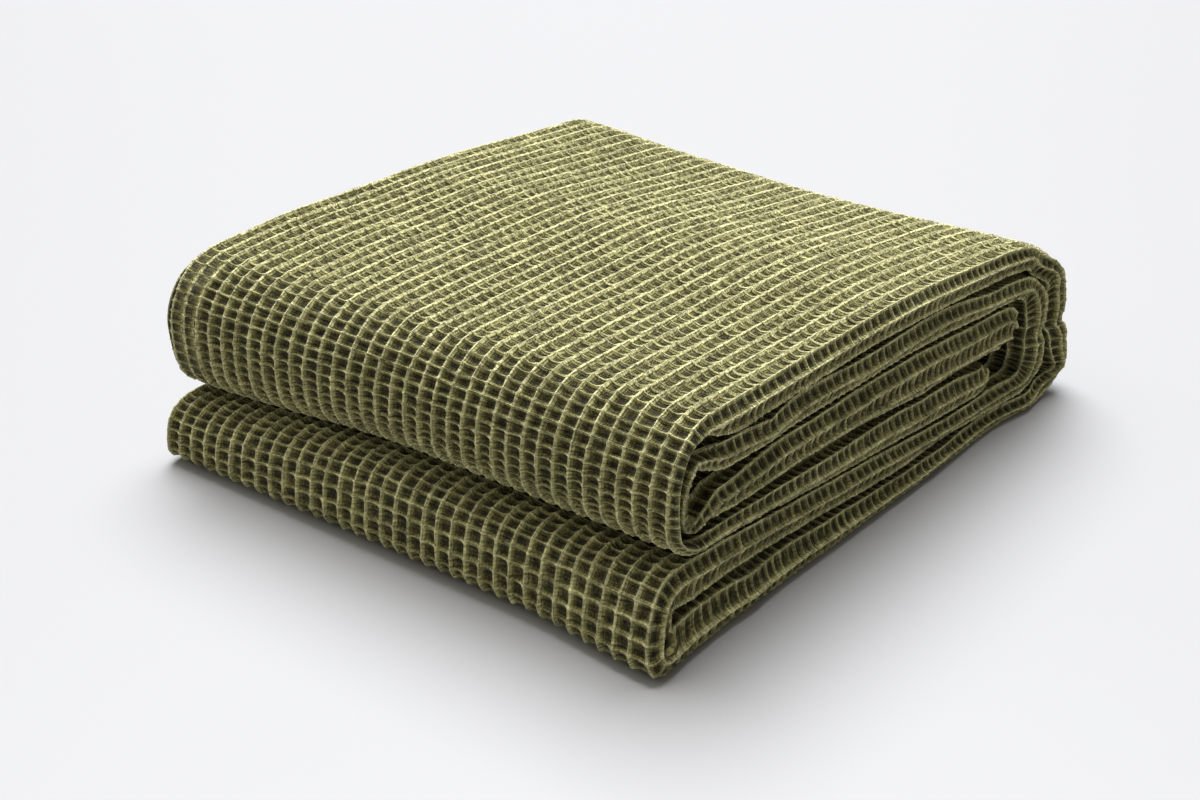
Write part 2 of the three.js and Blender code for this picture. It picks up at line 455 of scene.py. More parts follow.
def weave(u, v):
    """Height of the cloth from 0 in a pit to 1 on a rib, at u across and v along. Both
    kinds of rib wander a little. A cross rib is lower and sags between the long ones.
    The two join as (long^4 + cross^4)^(1/4)."""
    p = u / LONG_PITCH + LONG_DRIFT * wander(11, u / LONG_PITCH, v / 0.021)
    q = v / CROSS_PITCH + CROSS_DRIFT * wander(12, u / 0.017, v / CROSS_PITCH)
    p = p + LONG_JITTER * wander(14, u / 0.003, v / 0.0035)
    q = q + CROSS_JITTER * wander(15, u / 0.0031, v / 0.003)
    long_rib = rib_profile(2 * np.abs(p - np.round(p)), LONG_CREST)
    cross_rib = rib_profile(2 * np.abs(q - np.round(q)), CROSS_CREST)
    cross_rib *= CROSS_HEIGHT - CROSS_SAG * np.sin(math.pi * (p - np.floor(p))) ** 2
    cross_rib *= 1 + CROSS_UNEVEN * wander(13, np.round(p), np.round(q))
    both = (long_rib ** 4 + cross_rib ** 4) ** 0.25
    return np.clip(both * (1 + FIBRE_UNEVEN * wander(16, u / 0.0027, v / 0.0033)), 0, 1)


def fine_lines(start, end, pitch, steps):
    """Grid lines from cell number start to end, with the steps inside each cell."""
    lines = (np.arange(start, end)[:, None] + np.array(steps)).ravel()
    return np.r_[lines, end] * pitch


print("height on a rib and in a pit:",
      np.round(weave(np.array([0, LONG_PITCH / 2]), np.array([0, CROSS_PITCH / 2])), 2))

# %% [markdown]
# ## One length of cloth
# Each length of the strip is cut out of the runs at a cross rib, because a seam between
# two pieces is least seen there. A fold is a turn of the cross-section, so the first ply
# is one surface from the inside of its left fold, across, and round the big right fold.

# %% Cross-section
RIGHT_TUCK = 0.045  # how far the first ply is followed beyond the right fold's start
LEFT_TUCK = 0.024
FOLD_POWER = 2.7
FOLD_POINTS = 1201


def rounded_half(power):
    """Half of a rounded box of unit size, as tables of length, out and turn. With a from
    0 to 180 degrees, out is sin(a)^(2/power) and turn is cos(a)^(2/power), signed."""
    a = np.linspace(0, math.pi, FOLD_POINTS)
    out = np.sin(a) ** (2 / power)
    over = np.sign(np.cos(a)) * np.abs(np.cos(a)) ** (2 / power)
    length = np.r_[0, np.cumsum(np.hypot(np.diff(out), np.diff(over)))]
    return length, out, over


FOLD_LENGTH, FOLD_OUT, FOLD_TURN = rounded_half(FOLD_POWER)


def on_run(run, v):
    """The run's values at lengths v."""
    return {key: np.interp(v, run["s"], run[key])
            for key in ("y", "z", "thick", "out_y", "out_z", "tuck")}


def round_fold(past, radius):
    """For a cloth length past the start of a fold: how far out of the start it lies, and
    the share of the fold's thickness that it has turned. The ply then goes straight back."""
    length = past / radius
    out = np.interp(length, FOLD_LENGTH, FOLD_OUT, left=0)
    back = np.maximum(length - FOLD_LENGTH[-1], 0)
    return radius * (out - back), (1 - np.interp(length, FOLD_LENGTH, FOLD_TURN)) / 2


def across_first_ply(u, thick, left, right):
    """Place across and share of the thickness, for cloth length u. On the right the ply
    turns a rounded half box of half the thickness, on the left one of a quarter."""
    right_start, left_start = right - thick / 2, left + thick / 4
    out, share = round_fold(u - right_start, thick / 2)
    x = np.where(u > right_start, right_start + out, u)
    out, turned = round_fold(left_start - u, thick / 4)
    on_left = u < left_start
    return np.where(on_left, left_start - out, x), np.where(on_left, turned / 2, share)


BELLY = 0.0035  # the inner run is fuller in the middle, and shuts its near fold's hollow
BELLY_START, BELLY_END, BELLY_EASE, BELLY_WIDTH = 0.025, 0.11, 0.03, 0.08
SWELL = 0.0006  # slow waves in the upper part of the pad
SWELL_LEVEL, SWELL_EASE = 0.07, 0.05


def place(at, x, share, a_side_out, beyond=0.0):
    """Puts a point of the cross-section on the run, then settles it. The share is
    counted from the first ply, which is the run's outside or its inside. beyond goes
    straight on from there, past a free end. The inner run gets its belly here, and the
    top its slow waves."""
    depth = at["thick"] * (share if a_side_out else 1 - share)
    if not a_side_out:
        from_fold = at["y"] - PACK_NEAR
        belly = (ease((from_fold - BELLY_START) / BELLY_EASE)
                 * ease((BELLY_END - from_fold) / BELLY_EASE))
        depth = depth + BELLY * belly * np.exp(-((x / BELLY_WIDTH) ** 2)) * (1 - share)
    y = at["y"] - at["out_y"] * depth - at["out_z"] * beyond
    z = at["z"] - at["out_z"] * depth + at["out_y"] * beyond
    z = z + SWELL * wander(21, x / 0.05, y / 0.06) * ease((z - SWELL_LEVEL) / SWELL_EASE)
    return np.stack(np.broadcast_arrays(*settle(x, y, z)), axis=-1)


print("cloth in a fold:", round(FOLD_LENGTH[-1], 2), "times half its thickness")

# %% [markdown]
# ## From points to a mesh
# A grid of points becomes a mesh of quads in one step for all of them, which is far
# quicker than adding faces one by one. Every mesh also gets a UV map in metres of cloth,
# because the yarns of the material have to follow the cloth round its folds.

# %% Cloth mesh
def add_uv(mesh, u, v):
    """Gives every corner its vertex's place on the cloth, in metres."""
    corner = np.empty(len(mesh.loops), dtype=np.int32)
    mesh.loops.foreach_get("vertex_index", corner)
    flat = np.stack(np.broadcast_arrays(u, v), axis=-1).reshape(-1, 2)[corner]
    mesh.uv_layers.new(name="cloth").data.foreach_set("uv", flat.astype(np.float32).ravel())


def add_piece(name, mesh):
    """Links a smooth object for a mesh. It stays at the origin, unturned and unscaled."""
    mesh.shade_smooth()
    piece = bpy.data.objects.new(name, mesh)
    bpy.context.scene.collection.objects.link(piece)
    return piece


def grid_normals(points, flip):
    """Cross product of the steps along and across, of length one."""
    along = np.gradient(points, axis=0)
    over = np.gradient(points, axis=1)
    normal = np.cross(along, over)
    normal /= np.maximum(np.linalg.norm(normal, axis=2, keepdims=True), 1e-12)
    return -normal if flip else normal


def cloth_object(name, points, u, v, ridge, flip):
    """Makes a mesh from a grid of points, with a UV map in metres of cloth and the height
    of the weave as an attribute."""
    rows, columns = points.shape[:2]
    index = np.arange(rows * columns).reshape(rows, columns)
    corners = (index[:-1, :-1], index[1:, :-1], index[1:, 1:], index[:-1, 1:])
    quads = np.stack([c.ravel() for c in (corners[::-1] if flip else corners)], axis=1)
    mesh = bpy.data.meshes.new(name)
    mesh.vertices.add(rows * columns)
    mesh.vertices.foreach_set("co", points.reshape(-1, 3).astype(np.float32).ravel())
    mesh.loops.add(quads.size)
    mesh.loops.foreach_set("vertex_index", quads.astype(np.int32).ravel())
    mesh.polygons.add(len(quads))
    mesh.polygons.foreach_set("loop_start", np.arange(0, quads.size, 4, dtype=np.int32))
    mesh.polygons.foreach_set("loop_total", np.full(len(quads), 4, dtype=np.int32))
    add_uv(mesh, u, v)
    rib = mesh.attributes.new("rib", "FLOAT", "POINT")
    rib.data.foreach_set("value", np.ascontiguousarray(ridge, np.float32).ravel())
    mesh.update(calc_edges=True)
    mesh.validate()
    return add_piece(name, mesh)


print("a cell has", len(LONG_STEPS) * len(CROSS_STEPS), "quads")

# %% [markdown]
# ## The lengths of the strip
# Every length has a name, a run, a place on it and a body, which it moves with unless it
# is half of a far wrap. The far wraps are cut half-way up, because the pad would open
# there like a book's spine.

# %% The list of lengths
def cell(run, mark):
    """The cross rib nearest a mark, or nearest half-way between two."""
    length = np.mean([run["marks"][m] for m in np.atleast_1d(mark)])
    return int(round(length / CROSS_PITCH))


LENGTHS = [
    # name, run, from mark, to mark, body, CAD node, is the middle of the ply ever seen
    ("bottom_inner", OUTER, 0, 1, "lower_leaf", "bottom_inner_band", True),
    ("near_lower_fold", OUTER, 1, 2, "lower_leaf", "near_lower_fold", True),
    ("bottom_outer", OUTER, 2, 3, "lower_leaf", "bottom_outer_band", False),
    ("far_outer_wrap_lower", OUTER, 3, (3, 4), "lower_leaf", "far_outer_wrap", True),
    ("far_outer_wrap_upper", OUTER, (3, 4), 4, "upper_pack", "far_outer_wrap", True),
    ("top_outer", OUTER, 4, 5, "upper_pack", "top_outer_band", True),
    ("near_upper_outer_fold", OUTER, 5, 6, "upper_pack", "near_upper_outer_fold", True),
    ("middle_outer", OUTER, 6, 7, "upper_pack", "middle_outer_band", True),
    ("far_inner_wrap_lower", INNER, 0, (0, 1), "lower_leaf", "far_inner_wrap", True),
    ("far_inner_wrap_upper", INNER, (0, 1), 1, "upper_pack", "far_inner_wrap", True),
    ("top_inner", INNER, 1, 2, "upper_pack", "top_inner_band", False),
    ("near_upper_inner_fold", INNER, 2, 3, "upper_pack", "near_upper_inner_fold", False),
    ("middle_inner", INNER, 3, 4, "upper_pack", "middle_inner_band", False),
]
for name, run, first, last, *_ in LENGTHS:
    print(name, "has", cell(run, last) - cell(run, first), "rows of cells")

# %% [markdown]
# ## The first ply
# This is the cloth that everyone sees. It could be a smooth surface with a displacement
# modifier, but then the grid would not fit the ribs. Here the grid lines are placed by the
# weave itself, and each point sinks along its own normal. Each edge sways a little.

# %% The first ply of each length
EDGE_SWAY = 0.0026
WRAP_SWAY = 0.007  # the loose wraps crumple more at their edge
WRAP_SWAY_EASE = 0.04
EDGE_CELLS = 5  # cells in from each fold that keep their pits where the middle is hidden
HIDDEN_EASE = 0.01
DEPTH_UNEVEN, DEPTH_PATCH = 0.08, 0.03
SQUEEZE_RANGE = 0.006  # in a tight fold the tucked cloth has no room for its pits
plies = {}


def edges_at(run, v):
    """Left and right edges of the strip, each swaying a little along it."""
    start, end = run["marks"][3:5] if run is OUTER else run["marks"][:2]
    loose = ease((v - start) / WRAP_SWAY_EASE) * ease((end - v) / WRAP_SWAY_EASE)
    v = v if run is OUTER else -v
    sway = EDGE_SWAY * np.abs(wander(31, v / 0.07, 3.0))
    crumple = WRAP_SWAY * loose * (0.5 + 0.5 * wander(34, v / 0.021, 1.0))
    other = EDGE_SWAY * np.abs(wander(32, v / 0.09, 5.0))
    return X_LEFT + other, X_RIGHT - sway - crumple


def first_ply(name, run, first, last, seen):
    """The waffle surface of one length. Where the middle is never seen, its grid lines
    are a cell apart and the pits are left out there."""
    ends = cell(run, first), cell(run, last)
    v = np.minimum(fine_lines(*ends, CROSS_PITCH, CROSS_STEPS), run["s"][-1])[:, None]
    left_cell = int(round((X_LEFT - LEFT_TUCK) / LONG_PITCH))
    right_cell = int(round((X_RIGHT + RIGHT_TUCK) / LONG_PITCH))
    u = fine_lines(left_cell, right_cell, LONG_PITCH, LONG_STEPS)
    inner_left, inner_right = X_LEFT + EDGE_CELLS * LONG_PITCH, X_RIGHT - EDGE_CELLS * LONG_PITCH
    if not seen:
        hidden = (u > inner_left) & (u < inner_right)
        whole = np.abs(u / LONG_PITCH - np.round(u / LONG_PITCH)) < 1e-6
        u = u[~hidden | whole]
    u = u[None, :]
    at = on_run(run, v)
    left, right = edges_at(run, v)
    x, share = across_first_ply(u, at["thick"], left + at["tuck"], right - at["tuck"])
    outside = run is OUTER
    points = place(at, x, share, outside)
    direction = 1 if outside else -1
    ridge = weave(u, direction * v)
    if not seen:
        middle = ease((u - inner_left) / HIDDEN_EASE) * ease((inner_right - u) / HIDDEN_EASE)
        ridge = ridge + (1 - ridge) * middle
    uneven = 1 + DEPTH_UNEVEN * wander(33, u / DEPTH_PATCH, direction * v / DEPTH_PATCH)
    depth = PIT_DEPTH * (1 - ridge) * uneven
    squeezed = 1 - ease((at["thick"] - PULLED_THIN) / SQUEEZE_RANGE)
    depth = depth * (1 - share * squeezed)
    points = points - grid_normals(points, not outside) * depth[..., None]
    return cloth_object(name + "_first_ply", points, u, direction * v, ridge, not outside)


for name, run, first, last, body, node, seen in LENGTHS:
    plies[name] = first_ply(name, run, first, last, seen)
faces = sum(len(piece.data.polygons) for piece in plies.values())
print("first plies:", len(plies), "pieces,", 2 * faces, "triangles")

# %% [markdown]
# ## The plies inside
# Behind the first ply lie the other three. Only their edges ever show, at the left side
# and at the two free ends, so they are plain surfaces with grid lines a cell apart. The
# second and third are one piece of cloth round the small inner fold.

# %% Second, third and fourth ply
FOURTH_SHARE = 0.965
LEAST_THICK = 0.0112  # keeps the plies inside clear of the first ply's pits
MIDDLE_GAP = 0.06  # half the gap between second and third ply, as a share
BEND_INSET = 0.30  # how far in from the big fold the small one stands, as a share
LEFT_INSET, SECOND_INSET = 0.003, 0.012
FREE_END_EASE = 0.03
PLAIN_RIB = 0.75  # one even height of the weave, as these plies have no pits
PLY_LINES, BEND_LINES, FOURTH_LINES = 9, 7, 11


def rows_along(run, first, last, short_by):
    """Lengths a cell apart from one mark to another, stopping short of a free end."""
    v = np.arange(cell(run, first), cell(run, last) + 1) * CROSS_PITCH
    return np.minimum(v, run["s"][-1] - short_by)[:, None]


def on_run_inside(run, v):
    """The run's values, with a least thickness except near a free end."""
    at = on_run(run, v)
    near_end = ease((run["s"][-1] - v) / FREE_END_EASE)
    at["thick"] = np.maximum(at["thick"], LEAST_THICK * near_end)
    return at


def middle_plies(name, run, first, last):
    """Second ply from the left to a half circle at the right, and the third ply back."""
    outside = run is OUTER
    v = rows_along(run, first, last, 0.004)
    at = on_run_inside(run, v)
    left, right = edges_at(run, v)
    small = MIDDLE_GAP * at["thick"]
    bend = right - at["tuck"] - BEND_INSET * at["thick"] - small
    t = np.linspace(0, 1, PLY_LINES)[None, :]
    angle = np.linspace(0, math.pi, BEND_LINES)[None, 1:-1]
    second_start, third_end = left + SECOND_INSET, left + LEFT_INSET
    x = np.concatenate([
        second_start + (bend - second_start) * t, bend + small * np.sin(angle),
        bend + (third_end - bend) * t,
    ], axis=1)
    share = np.r_[np.full(PLY_LINES, 0.5 - MIDDLE_GAP), 0.5 - MIDDLE_GAP * np.cos(angle[0]),
                  np.full(PLY_LINES, 0.5 + MIDDLE_GAP)][None, :]
    u = np.linspace(0.36, 1.05, x.shape[1])[None, :]
    points = place(at, x, share, outside)
    return cloth_object(name + "_middle_plies", points, u, v if outside else -v,
                        np.full(points.shape[:2], PLAIN_RIB), outside)


def fourth_ply(name, run, first, last):
    """The rest of the fourth ply, from the tucked end of the first piece to the hem."""
    outside = run is OUTER
    v = rows_along(run, first, last, 0.002)
    at = on_run_inside(run, v)
    left, right = edges_at(run, v)
    big = at["thick"] / 2
    fold_start = right - at["tuck"] - big
    start = 2 * fold_start + FOLD_LENGTH[-1] * big - X_RIGHT - RIGHT_TUCK + 0.004
    x = start + (left + LEFT_INSET - start) * np.linspace(0, 1, FOURTH_LINES)[None, :]
    u = np.linspace(-0.36, -0.02, FOURTH_LINES)[None, :]
    points = place(at, x, np.full((1, FOURTH_LINES), FOURTH_SHARE), outside)
    return cloth_object(name + "_fourth_ply", points, u, v if outside else -v,
                        np.full(points.shape[:2], PLAIN_RIB), not outside)


inner = {}
for name, run, first, last, *_ in LENGTHS:
    inner[name] = [middle_plies(name, run, first, last), fourth_ply(name, run, first, last)]
print("plies inside:", 2 * len(inner), "pieces")

# %% [markdown]
# ## The hems
# The two long edges of the throw come to lie at the left side, on the third and fourth
# plies. Each edge is turned in and sewn down, so it is a flat tube of double cloth. The
# tube pulls in at every needle hole, and the thread lies over the cloth from one hole to
# the next. The two short edges are at the free ends of the runs, and there all four
# plies of them show. Tubes and stitches are both rings of points that are joined up.

# %% Rings
def flat_ring(count):
    """A flattened ring: the width goes as cos^0.5 and the thickness as sin^0.7."""
    ring = np.linspace(0, 2 * math.pi, count, endpoint=False)[None, :]
    wide = np.sign(np.cos(ring)) * np.abs(np.cos(ring)) ** 0.5
    return wide, np.sign(np.sin(ring)) * np.abs(np.sin(ring)) ** 0.7


def closed_rings(name, points, u, v):
    """Joins rings of points into tubes and closes every end with one flat face. points
    has one row of rings for each tube. The faces are turned to point outwards."""
    index = np.arange(points[..., 0].size).reshape(points.shape[:3])
    over = np.roll(index, -1, axis=2)
    quads = np.stack([c.ravel() for c in (
        index[:, :-1], index[:, 1:], over[:, 1:], over[:, :-1])], axis=1)
    caps = np.concatenate([index[:, 0], index[:, -1, ::-1]])
    flat = points.reshape(-1, 3)
    mesh = bpy.data.meshes.new(name)
    mesh.from_pydata(flat.tolist(), [], quads.tolist() + caps.tolist())
    a, b, c = (flat[quads[:, i]] for i in range(3))
    if np.einsum("ij,ij->i", a - flat.mean(axis=0), np.cross(b - a, c - a)).sum() < 0:
        mesh.flip_normals()
    add_uv(mesh, u, v)
    return add_piece(name, mesh)


print("widths round a ring of eight:", np.round(flat_ring(8)[0][0], 2))

# %% [markdown]
# ## The side hems and their stitches
# Each hem is a tube along the strip, and each stitch a small bead partly sunk into it.
# A bead of twenty points is enough, because there are well over a thousand of them.

# %% Side hems
HEM_WIDTH = 0.015
HEM_HALF_SHARE = 0.115  # half a ply's share of the thickness
HEM_SHARES = {"third_ply": 0.625, "fourth_ply": 0.875}
HEM_RING = 20
HEM_WAVER, HEM_WAVE = 0.0012, 0.05
STITCH_PITCH = CROSS_PITCH / 2
STITCH_DIP = 0.35
STITCH_FROM_EDGE = 0.0115
STITCH_LIFT = 0.0003  # how far a bead's middle stands out of the hem
STITCH_SINK = 0.85
HEM_SHORT_BY, STITCH_SHORT_BY = 0.001, 0.004  # at a free end
BEAD_STEPS = np.array([-1.0, -0.7, 0.0, 0.7, 1.0])
BEAD_RADIUS = np.array([0.15, 0.8, 1.0, 0.8, 0.15])[None, :, None] * 0.00045
BEAD_HALF_LENGTH = 0.0013
BEAD_RING = np.arange(4) * math.pi / 2 + math.pi / 4


def hem_edge(run, v, ply):
    """Left edge of a hem. It wavers apart from the edge of the strip."""
    return edges_at(run, v)[0] + HEM_WAVER * wander(41 + len(ply), v / HEM_WAVE)


def bead_places(middle):
    """Places along each bead for the middles of the stitches."""
    return middle[:, None, None] + BEAD_HALF_LENGTH * BEAD_STEPS[None, :, None] + 0 * BEAD_RING


def side_hem(name, ply, run, first, last):
    """A flat tube along the strip. At each needle hole, as cos^2, its inner half is a
    third thinner. The holes are half-way between the middles of two stitches."""
    step = STITCH_PITCH / 2
    v = np.arange(cell(run, first) * CROSS_PITCH, cell(run, last) * CROSS_PITCH + step / 2, step)
    v = np.minimum(v, run["s"][-1] - HEM_SHORT_BY)[:, None]
    wide, thick = flat_ring(HEM_RING)
    inner_half = ease(wide * 2) * ease(2 - 2 * wide)
    dip = 1 - STITCH_DIP * np.cos(math.pi * v / STITCH_PITCH) ** 2 * inner_half
    x = hem_edge(run, v, ply) + HEM_WIDTH / 2 * (1 + wide)
    share = HEM_SHARES[ply] + HEM_HALF_SHARE * thick * dip
    points = place(on_run(run, v), x, share, run is OUTER)
    return closed_rings(name + "_sewn_hem_" + ply, points[None], x + 0.002 * thick, v)


def side_stitches(name, ply, run, first, last):
    """Beads along the hem, one stitch pitch apart, tapered at their ends."""
    start, end = cell(run, first) * CROSS_PITCH, cell(run, last) * CROSS_PITCH
    end = min(end, run["s"][-1] - STITCH_SHORT_BY)
    v = bead_places(np.arange(start + STITCH_PITCH / 2, end, STITCH_PITCH))
    at = on_run(run, v)
    x = hem_edge(run, v, ply) + STITCH_FROM_EDGE + BEAD_RADIUS * np.cos(BEAD_RING)
    out = STITCH_LIFT + BEAD_RADIUS * np.sin(BEAD_RING)
    share = HEM_SHARES[ply] + STITCH_SINK * HEM_HALF_SHARE + out / at["thick"]
    return closed_rings(name + "_stitches_" + ply, place(at, x, share, run is OUTER), x, v)


hems, threads = {}, {}
for name, run, first, last, *_ in LENGTHS:
    hems[name] = [side_hem(name, ply, run, first, last) for ply in HEM_SHARES]
    threads[name] = [side_stitches(name, ply, run, first, last) for ply in HEM_SHARES]
print("side hems:", 2 * len(hems), "tubes and as many rows of stitches")

# %% [markdown]
# ## The end hems
# The sheet's two short edges show all four of their plies at the free ends. The two plies
# that lie inside are a little shorter across. The hems don't end on one line, because
# the plies slip when the strip is folded.

# %% End hems
END_HEM = 0.018
END_RING, END_ROWS = 16, 81
END_INSET = 0.004
END_HALF_SHARE = 0.105
END_SQUARENESS = 40  # the power that closes a hem at its two corners
END_TRIM = 0.018  # how much shorter than the strip is wide an end hem is
END_SETBACK, END_RAGGED, END_SLIP = 0.0012, 0.0010, 0.0006
END_STITCH_LEFT, END_STITCH_RIGHT, END_STITCH_FROM_EDGE = 0.010, 0.026, 0.0035
END_STITCH_SHARE, END_STITCH_LIFT = 0.012, 0.0002


def end_hem(name, run):
    """Four flat tubes across the strip, one for each ply, at the free end of a run. The
    rings are as in the side hems, turned to lie along the strip."""
    wide, thick = flat_ring(END_RING)
    t = np.linspace(0, 1, END_ROWS)[:, None]
    end = run["s"][-1]
    quarter = on_run(run, np.array([end]))["thick"][0] / 4
    closing = np.sqrt(np.clip(1 - (2 * t - 1) ** END_SQUARENESS, 0.02, 1))
    pieces = []
    for ply in range(4):
        inset = END_INSET if ply in (0, 3) else END_INSET + quarter
        x = X_LEFT + END_INSET + (X_RIGHT - X_LEFT - END_TRIM - inset) * t
        ragged = END_RAGGED * wander(51 + ply, x / 0.04) + END_SLIP * (ply % 2)
        v = end - END_HEM / 2 + END_SETBACK + ragged + END_HEM / 2 * wide
        share = (ply + 0.5) / 4 + END_HALF_SHARE * thick * closing
        x = x + 0 * wide
        points = place(on_run(run, v), x, share, run is OUTER, np.maximum(v - end, 0))
        tube_name = name + "_sewn_end_hem_" + str(ply + 1)
        pieces.append(closed_rings(tube_name, points[None], x, v + 0.002 * thick))
    return pieces


def end_stitches(name, run):
    """A row of beads across the first ply's end hem, a little in from its sewn edge."""
    x = bead_places(np.arange(X_LEFT + END_STITCH_LEFT, X_RIGHT - END_STITCH_RIGHT, STITCH_PITCH))
    v = run["s"][-1] - END_HEM + END_STITCH_FROM_EDGE + BEAD_RADIUS * np.cos(BEAD_RING) + 0 * x
    at = on_run(run, v)
    out = END_STITCH_LIFT + BEAD_RADIUS * np.sin(BEAD_RING)
    share = END_STITCH_SHARE - out / at["thick"]
    return closed_rings(name + "_stitches_end", place(at, x, share, run is OUTER), x, v)


end_hems = {"middle_outer": end_hem("middle_outer", OUTER),
            "middle_inner": end_hem("middle_inner", INNER)}
print("end hems:", sum(len(pieces) for pieces in end_hems.values()), "tubes")
for name, run in (("middle_outer", OUTER), ("middle_inner", INNER)):
    threads[name].append(end_stitches(name, run))

# %% [markdown]
# ## The cotton
# The yarn is one olive colour. Its colour is painted lighter on the ribs, as painted
# highlight where the fibres stand up and catch light, and much darker down in the pits, as
# painted shade. Three materials use one node group.
# It draws the yarns from the UV map, which is in metres of cloth, so that they follow
# every fold, and breaks them up with noise: fuzz, uneven yarns and slow changes of dye.

# %% Node helpers
def link(tree, source, target):
    """Joins an output socket to an input socket."""
    tree.links.new(source, target)


def math_node(tree, operation, first, second=None, clamp=False):
    """A Math node fed with sockets or numbers."""
    node = tree.nodes.new("ShaderNodeMath")
    node.operation = operation
    node.use_clamp = clamp
    for socket, value in zip(node.inputs, (first, second)):
        if value is None:
            continue
        if isinstance(value, (int, float)):
            socket.default_value = value
        else:
            link(tree, value, socket)
    return node.outputs[0]


def add_share(tree, total, value, share, clamp=False):
    """total + share x value."""
    return math_node(tree, "ADD", total, math_node(tree, "MULTIPLY", value, share), clamp)


def noise_node(tree, vector, scale, detail=2.0):
    """Noise on a vector that has been scaled unevenly."""
    stretch = tree.nodes.new("ShaderNodeVectorMath")
    stretch.operation = "MULTIPLY"
    link(tree, vector, stretch.inputs[0])
    stretch.inputs[1].default_value = scale
    noise = tree.nodes.new("ShaderNodeTexNoise")
    noise.inputs["Scale"].default_value = 1.0
    noise.inputs["Detail"].default_value = detail
    link(tree, stretch.outputs[0], noise.inputs["Vector"])
    return noise.outputs[0]


def mix_colours(tree, blend_type, factor, first, second):
    """A colour Mix node fed with sockets or colours."""
    node = tree.nodes.new("ShaderNodeMix")
    node.data_type = "RGBA"
    node.blend_type = blend_type
    sockets = [s for s in node.inputs if s.enabled]
    for socket, value in zip(sockets, (factor, first, second)):
        if isinstance(value, (int, float, tuple)):
            socket.default_value = value
        else:
            link(tree, value, socket)
    return next(s for s in node.outputs if s.enabled)


print("helpers for math, noise and colour nodes")

# %% [markdown]
# ## The yarn group
# Two sine waves draw the twisted yarns: on a long rib they run one way, and on a cross
# rib the other. Fine noise adds the fuzz, stretched noise the uneven yarns, and broad
# noise the dye. The colour is painted darker down in the pits as painted shade, and the
# deeper in the pit, the yellower that painted shade is made.

# %% The yarn group
YARN_PITCH = 0.00095
SOCKETS = (
    ("INPUT", "Rib", "Float"), ("INPUT", "Pit shade", "Color"),
    ("INPUT", "Rib yarn and highlight", "Color"), ("INPUT", "Relief", "Float"),
    ("OUTPUT", "Colour", "Color"), ("OUTPUT", "Roughness", "Float"),
    ("OUTPUT", "Height", "Float"),
)
FUZZ_SCALE, DYE_SCALE = (900, 900, 1), (16, 11, 1)
LONG_YARN_SCALE, CROSS_YARN_SCALE = (720, 70, 1), (70, 720, 1)
CHANGE_SHARPNESS = 8.0  # how quickly the yarns change from long to cross
HEIGHT_STRANDS, HEIGHT_FUZZ, HEIGHT_UNEVEN = 0.30, 1.2, 1.2
RIB_FUZZ, RIB_YARNS, RIB_POWER = 0.5, 0.5, 1.32
# painted shade tint: the pits are made yellower, and the ribs stay white
PIT_SHADE_TINT, WHITE = (1.0, 0.985, 0.60, 1), (1.0, 1.0, 1.0, 1)
SHADE_UNEVEN, SHADE_FUZZ, SHADE_DYE, SHADE_STRANDS = 1.6, 1.3, 0.13, 0.16
SHADE_LEVEL, DARKEST = 1.28, 0.25
LEAST_ROUGH, FUZZ_ROUGH = 0.82, 0.16


def strands_of(tree, parts):
    """Height of the twisted yarns. It blends the sine across and the sine along by which
    kind of rib is nearer, as sharpness x (distance to cross - distance to long) + 1/2."""
    turns = 2 * math.pi / YARN_PITCH
    warp = math_node(tree, "SINE", math_node(tree, "MULTIPLY", parts.outputs[0], turns))
    weft = math_node(tree, "SINE", math_node(tree, "MULTIPLY", parts.outputs[1], turns))
    across = math_node(tree, "MULTIPLY", parts.outputs[0], 1 / LONG_PITCH)
    along = math_node(tree, "MULTIPLY", parts.outputs[1], 1 / CROSS_PITCH)
    nearer_long = math_node(tree, "SUBTRACT", math_node(tree, "PINGPONG", along, 0.5),
                            math_node(tree, "PINGPONG", across, 0.5))
    nearer_long = math_node(tree, "MULTIPLY", nearer_long, CHANGE_SHARPNESS)
    nearer_long = math_node(tree, "ADD", nearer_long, 0.5, clamp=True)
    nearer_cross = math_node(tree, "SUBTRACT", 1.0, nearer_long)
    return math_node(tree, "ADD", math_node(tree, "MULTIPLY", warp, nearer_long),
                     math_node(tree, "MULTIPLY", weft, nearer_cross))


def yarn_colour_with_painted_shade(tree, given, rib, shade):
    """Painted pit shade x (1 - rib) + rib colour with painted highlight x rib, times a painted
    shade tint that is yellow in the pits and white on the ribs, times the shade."""
    # painted shade in the pits and painted highlight on the ribs, mixed by the rib height
    colour = mix_colours(tree, "MIX", rib, given["Pit shade"], given["Rib yarn and highlight"])
    shade_tint = mix_colours(tree, "MIX", rib, PIT_SHADE_TINT, WHITE)
    colour = mix_colours(tree, "MULTIPLY", 1.0, colour, shade_tint)
    grey = tree.nodes.new("ShaderNodeCombineColor")
    for socket in grey.inputs:
        link(tree, shade, socket)
    return mix_colours(tree, "MULTIPLY", 1.0, colour, grey.outputs[0])


